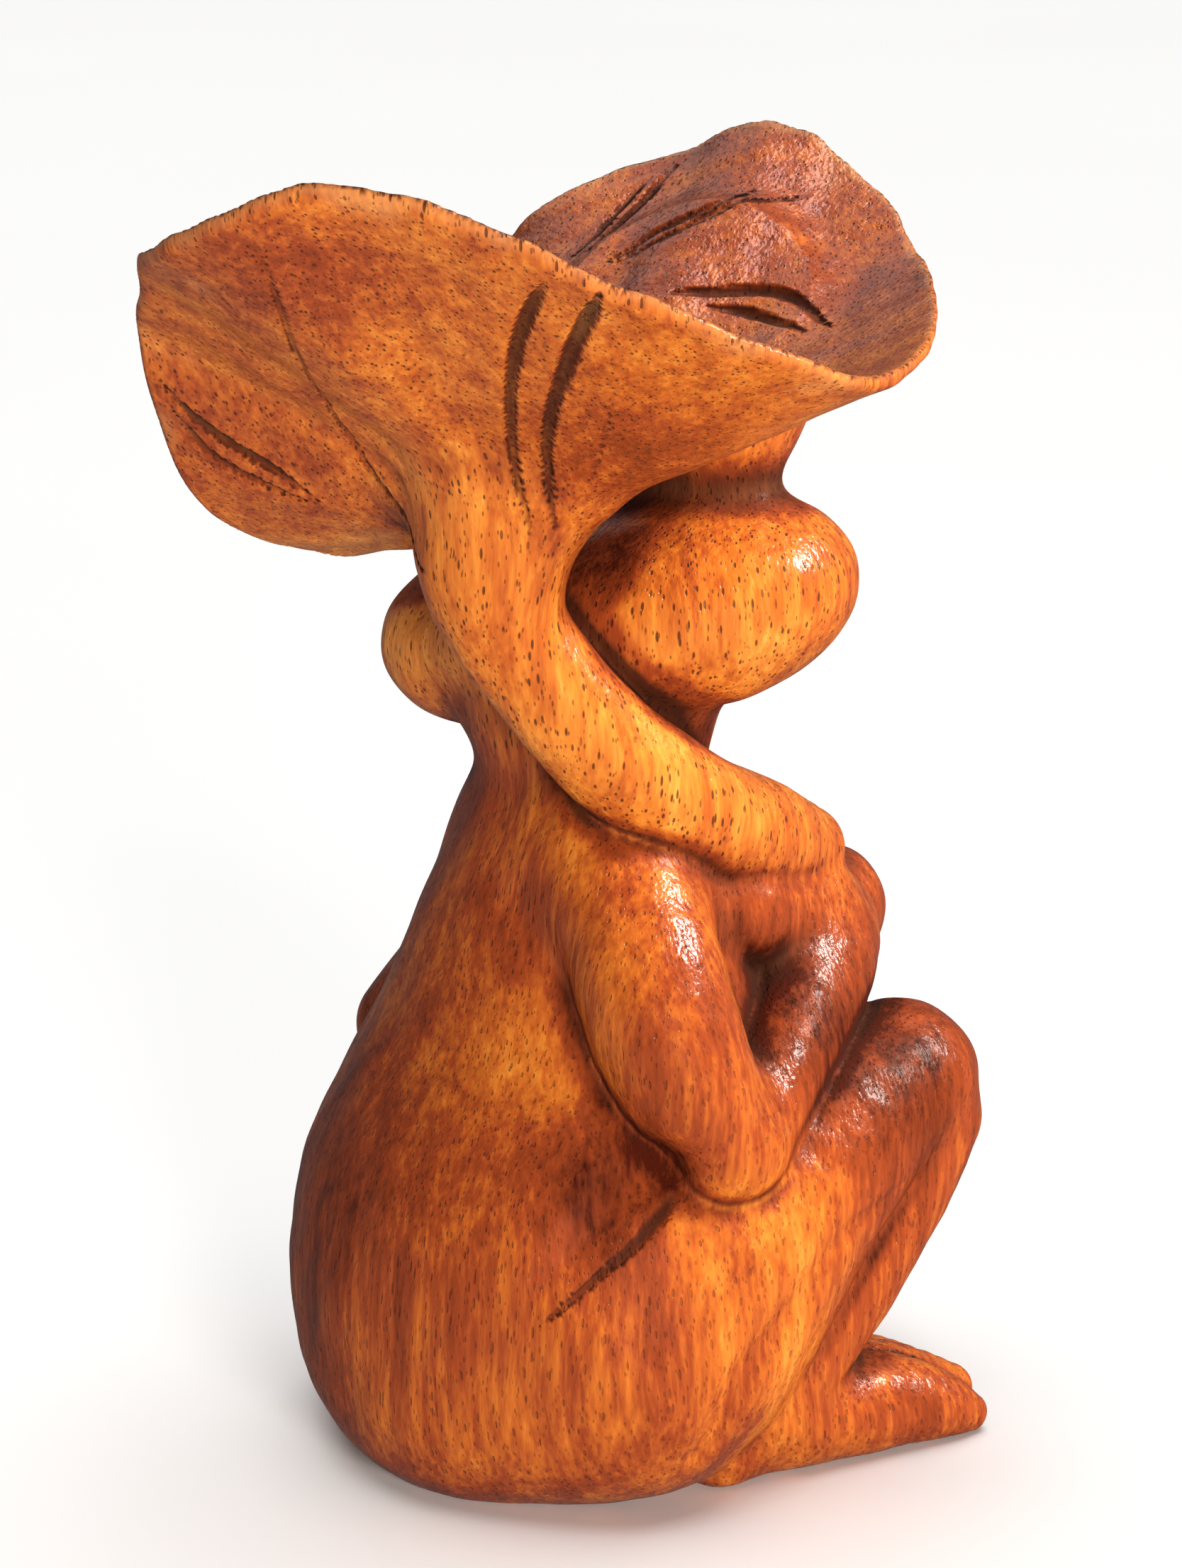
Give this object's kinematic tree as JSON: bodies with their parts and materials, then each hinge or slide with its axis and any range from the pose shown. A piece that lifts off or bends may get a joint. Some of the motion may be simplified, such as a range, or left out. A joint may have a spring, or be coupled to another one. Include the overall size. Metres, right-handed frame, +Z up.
{
  "type": "carved wooden frog figurine",
  "caption": "Carved hardwood frog sitting upright, holding the stem of a wavy lotus leaf that opens over its head.",
  "frame": {"origin": "on the torso's flat underside, on the figure's mid plane, where it stands on the surface", "axes": "+Z up, -Y the way the frog faces, -X the frog's right side"},
  "size_m": [0.0754, 0.083, 0.1228],
  "materials": {
    "torso_wood": "satin varnish over red-brown carved wood",
    "head_wood": "satin varnish over golden-brown carved wood",
    "leaf_wood": "satin varnish over golden-brown carved wood",
    "stem_wood": "satin varnish over golden carved wood",
    "limb_wood": "satin varnish over red-brown carved wood",
    "foot_wood": "satin varnish over red-brown carved wood"
  },
  "bodies": {
    "root": {"torso": "torso_wood", "head": "head_wood", "leaf": "leaf_wood", "stem": "stem_wood", "upper_arm_right": "limb_wood", "upper_arm_left": "limb_wood", "forearm_right": "limb_wood", "forearm_left": "limb_wood", "thigh_right": "limb_wood", "thigh_left": "limb_wood", "shin_right": "limb_wood", "shin_left": "limb_wood", "foot_right": "foot_wood", "foot_left": "foot_wood"}
  },
  "joints": []
}
